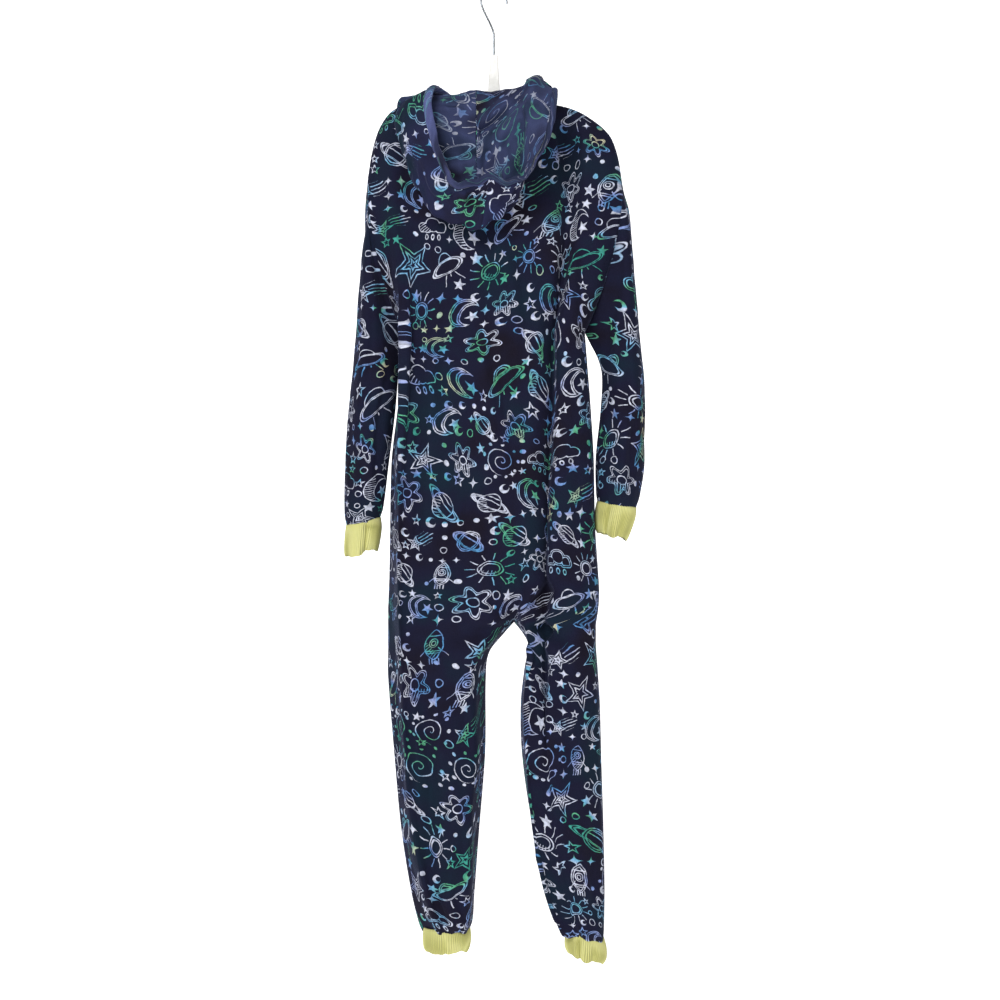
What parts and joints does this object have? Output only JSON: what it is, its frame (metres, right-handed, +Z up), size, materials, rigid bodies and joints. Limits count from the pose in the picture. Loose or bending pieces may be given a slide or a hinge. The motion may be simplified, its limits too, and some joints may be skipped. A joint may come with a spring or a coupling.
{
  "type": "hooded onesie pajama on a hanger",
  "caption": "Hooded onesie pajama hanging on a clothes hanger, with long sleeves and legs, rib cuffs, a thrown-back hood and a front zip with a swinging pull tab.",
  "frame": {"origin": "the point of the hook's loop that bears on the rail", "axes": "+Z up, -Y towards the garment's front, +X towards the wearer's left"},
  "size_m": [0.4521, 0.1931, 1.4628],
  "materials": {
    "fleece": "brushed fleece with a printed pattern",
    "rib": "rib knit",
    "hem": "printed fleece, turned and stitched",
    "zip_tape": "woven tape",
    "zip_metal": "die-cast and plated",
    "hanger_plastic": "moulded satin",
    "hook_wire": "plated steel wire"
  },
  "bodies": {
    "garment": {"back": "fleece", "front_left": "fleece", "front_right": "fleece", "sleeve_left": "fleece", "sleeve_right": "fleece", "wrist_cuff_left": "rib", "wrist_cuff_right": "rib", "ankle_cuff_left": "rib", "ankle_cuff_right": "rib", "hood_left": "fleece", "hood_right": "fleece", "hood_hem": "hem", "zip_tape_left": "zip_tape", "zip_tape_right": "zip_tape", "zip_slider": "zip_metal", "hanger_body": "hanger_plastic", "hanger_hook": "hook_wire"},
    "pull_tab": {"zip_pull": "zip_metal"}
  },
  "joints": [
    {"name": "zip_pull_swing", "type": "hinge", "parent": "garment", "child": "pull_tab", "pos_m": [-0.00059, -0.0481, -0.24655], "axis": [-1, 0, 0], "range_deg": [0, 120]}
  ]
}
